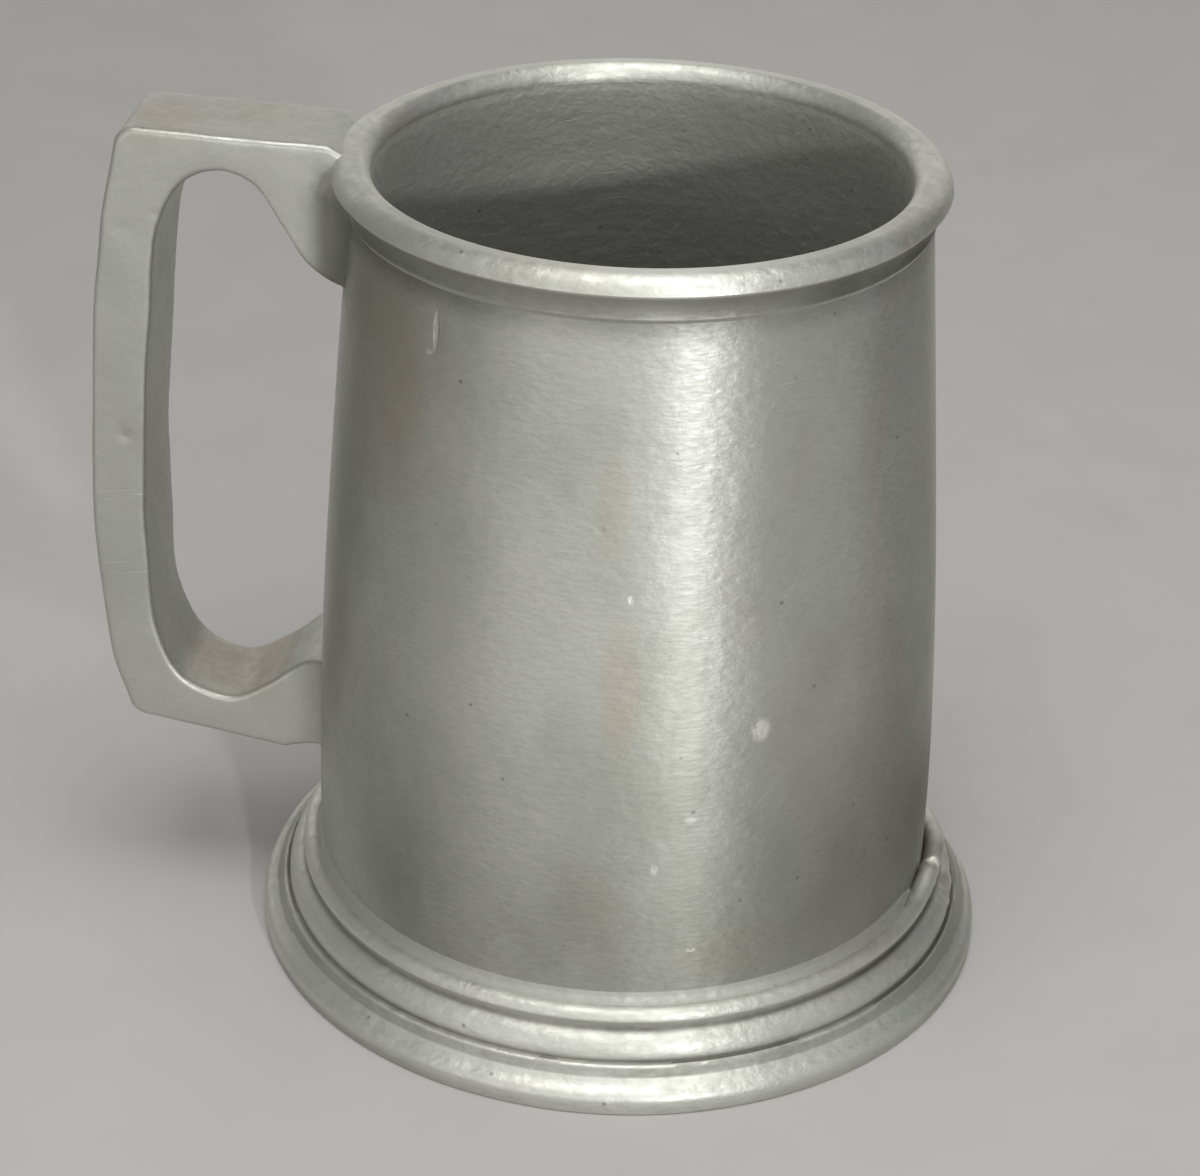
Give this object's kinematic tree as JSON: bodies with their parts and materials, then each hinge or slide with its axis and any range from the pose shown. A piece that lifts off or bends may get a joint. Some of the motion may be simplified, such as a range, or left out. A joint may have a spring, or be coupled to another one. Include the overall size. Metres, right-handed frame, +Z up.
{
  "type": "tankard",
  "caption": "Open pewter tankard: slightly bellied tapering barrel, thick rounded lip, moulded flared foot and a flat-sided strap handle, soldered together.",
  "frame": {"origin": "on the barrel's axis, in the plane that the foot stands on", "axes": "+Z up the barrel's axis; -X from the axis towards the handle; +Y completes the right-handed frame"},
  "size_m": [0.1326, 0.11, 0.1225],
  "materials": {
    "pewter": "satin, worn and lightly tarnished",
    "solder": "satin, scraped by hand"
  },
  "bodies": {
    "root": {"barrel": "pewter", "lip_ring": "pewter", "foot_ring": "pewter", "floor_disc": "pewter", "handle": "pewter", "upper_handle_solder": "solder", "lower_handle_solder": "solder", "lip_solder": "solder", "foot_solder": "solder", "floor_solder": "solder"}
  },
  "joints": []
}
